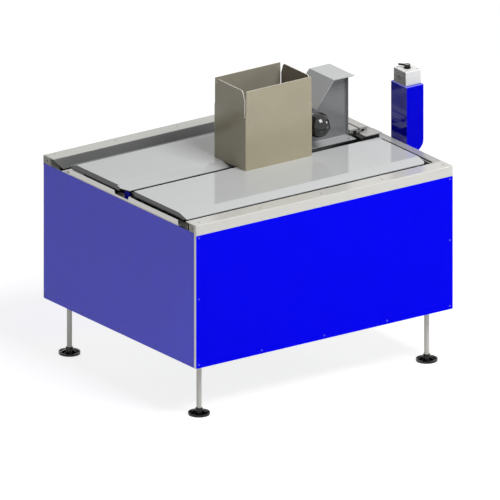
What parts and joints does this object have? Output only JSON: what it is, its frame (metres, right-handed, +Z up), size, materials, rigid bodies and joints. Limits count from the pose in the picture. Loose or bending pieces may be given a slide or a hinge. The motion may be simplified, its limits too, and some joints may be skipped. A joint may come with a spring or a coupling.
{
  "type": "box forming machine",
  "caption": "Floor-standing box forming machine with a flat folded-sheet table, a side guide with hood, a control column and a carton on the table.",
  "frame": {"origin": "on the floor under the middle of the whole machine's box, control column included", "axes": "+X to the right along the front, +Y from the front to the rear, +Z up"},
  "size_m": [1.281, 1.006, 1.129],
  "materials": {
    "ball_plastic": "polished",
    "black_plastic": "moulded",
    "blue_panel": "satin powder coat",
    "board": "corrugated board",
    "box_plastic": "moulded",
    "cover_sheet": "satin",
    "guide_sheet": "satin",
    "profile": "satin anodised",
    "rod_steel": "turned",
    "slide_plastic": "machined",
    "table_sheet": "glossy",
    "zinc_steel": "zinc plated"
  },
  "bodies": {
    "machine": {"beam_end_block": "black_plastic", "beam_end_plate": "cover_sheet", "bottom_pan": "zinc_steel", "bottom_rails": "profile", "column_fixing_plate": "zinc_steel", "control_column": "blue_panel", "corner_plates": "zinc_steel", "corner_strips": "profile", "foot_front_left": "black_plastic", "foot_front_right": "black_plastic", "foot_rear_left": "black_plastic", "foot_rear_right": "black_plastic", "front_cover": "cover_sheet", "front_panel": "blue_panel", "front_table": "table_sheet", "guide_beam": "profile", "guide_bracket": "zinc_steel", "guide_hood": "guide_sheet", "guide_knob": "ball_plastic", "guide_plate": "guide_sheet", "knob_stem": "rod_steel", "left_ledge": "profile", "left_panel": "blue_panel", "leg_rod_front_left": "rod_steel", "leg_rod_front_right": "rod_steel", "leg_rod_rear_left": "rod_steel", "leg_rod_rear_right": "rod_steel", "post_front_left": "profile", "post_front_right": "profile", "post_rear_left": "profile", "post_rear_right": "profile", "rear_cover": "cover_sheet", "rear_panel": "blue_panel", "rear_table": "table_sheet", "right_cover": "cover_sheet", "right_panel": "blue_panel", "side_member_left": "profile", "side_member_right": "profile", "slot_bracket": "blue_panel", "slot_rail": "slide_plastic", "slot_rail_foot": "black_plastic", "switch_box": "box_plastic", "switch_collar": "black_plastic", "table_bearers": "zinc_steel", "table_spacers": "slide_plastic", "top_rail_front": "profile", "top_rail_rear": "profile"},
    "carton": {"carton_bottom": "board", "carton_front": "board", "carton_left": "board", "carton_rear": "board", "carton_right": "board"},
    "switch_lever": {"switch_lever": "black_plastic"}
  },
  "joints": [
    {"name": "carton_lift", "type": "slide", "parent": "machine", "child": "carton", "axis": [0, 0, 1], "range_m": [0, 0.4]},
    {"name": "switch_turn", "type": "hinge", "parent": "machine", "child": "switch_lever", "pos_m": [0.6015, -0.144, 1.0813], "axis": [0, 0, 1], "range_deg": [-90, 0]}
  ]
}
